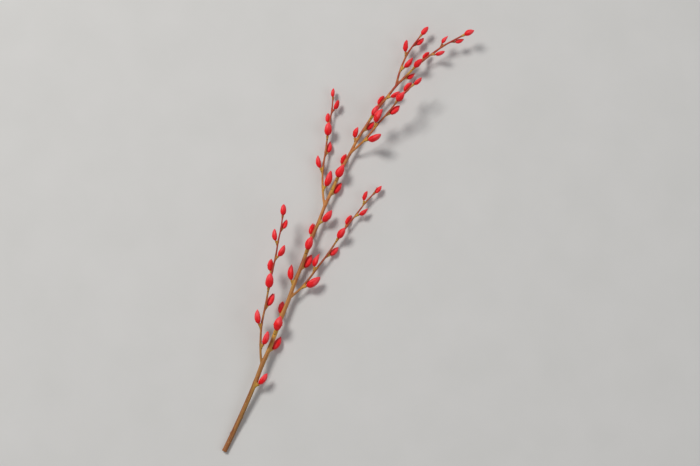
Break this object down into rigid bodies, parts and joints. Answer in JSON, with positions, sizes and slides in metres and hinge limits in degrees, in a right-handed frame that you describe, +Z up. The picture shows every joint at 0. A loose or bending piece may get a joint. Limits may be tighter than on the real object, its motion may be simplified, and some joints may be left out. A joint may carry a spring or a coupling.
{
  "type": "willow branch",
  "caption": "Cut pussy willow branch with side twigs and pointed catkins painted red, lying on its underside as it rests on a table.",
  "frame": {"origin": "on the surface the branch lies on, under the middle of its bounding box", "axes": "+Y along the branch from the cut end to the tip, +Z up from the surface, +X to the side its tip arches over to"},
  "size_m": [0.1306, 0.6144, 0.0541],
  "materials": {
    "bark": "satin",
    "catkin": "matte"
  },
  "bodies": {
    "root": {"branch_wood": "bark", "catkin_stem_01": "catkin", "catkin_stem_03": "catkin", "catkin_stem_04": "catkin", "catkin_stem_05": "catkin", "catkin_stem_07": "catkin", "catkin_stem_08": "catkin", "catkin_stem_09": "catkin", "catkin_stem_10": "catkin", "catkin_stem_11": "catkin", "catkin_stem_13": "catkin", "catkin_stem_14": "catkin", "catkin_stem_15": "catkin", "catkin_stem_17": "catkin", "catkin_stem_18": "catkin", "catkin_stem_19": "catkin", "catkin_stem_20": "catkin", "catkin_stem_21": "catkin", "catkin_stem_23": "catkin", "catkin_stem_24": "catkin", "catkin_stem_25": "catkin", "catkin_stem_26": "catkin", "catkin_stem_27": "catkin", "catkin_stem_28": "catkin", "catkin_stem_29": "catkin", "catkin_twig_a_01": "catkin", "catkin_twig_a_02": "catkin", "catkin_twig_a_03": "catkin", "catkin_twig_a_04": "catkin", "catkin_twig_a_05": "catkin", "catkin_twig_a_06": "catkin", "catkin_twig_a_07": "catkin", "catkin_twig_a_08": "catkin", "catkin_twig_a_09": "catkin", "catkin_twig_b_01": "catkin", "catkin_twig_b_02": "catkin", "catkin_twig_b_03": "catkin", "catkin_twig_b_04": "catkin", "catkin_twig_b_05": "catkin", "catkin_twig_b_06": "catkin", "catkin_twig_b_07": "catkin", "catkin_twig_b_08": "catkin", "catkin_twig_c_01": "catkin", "catkin_twig_c_02": "catkin", "catkin_twig_c_03": "catkin", "catkin_twig_c_04": "catkin", "catkin_twig_c_05": "catkin", "catkin_twig_c_06": "catkin", "catkin_twig_c_07": "catkin", "catkin_twig_d_01": "catkin", "catkin_twig_d_02": "catkin", "catkin_twig_d_03": "catkin", "catkin_twig_d_04": "catkin", "catkin_twig_d_05": "catkin", "catkin_twig_d_06": "catkin", "catkin_twig_e_01": "catkin", "catkin_twig_e_02": "catkin", "catkin_twig_e_03": "catkin", "catkin_twig_e_04": "catkin"}
  },
  "joints": []
}
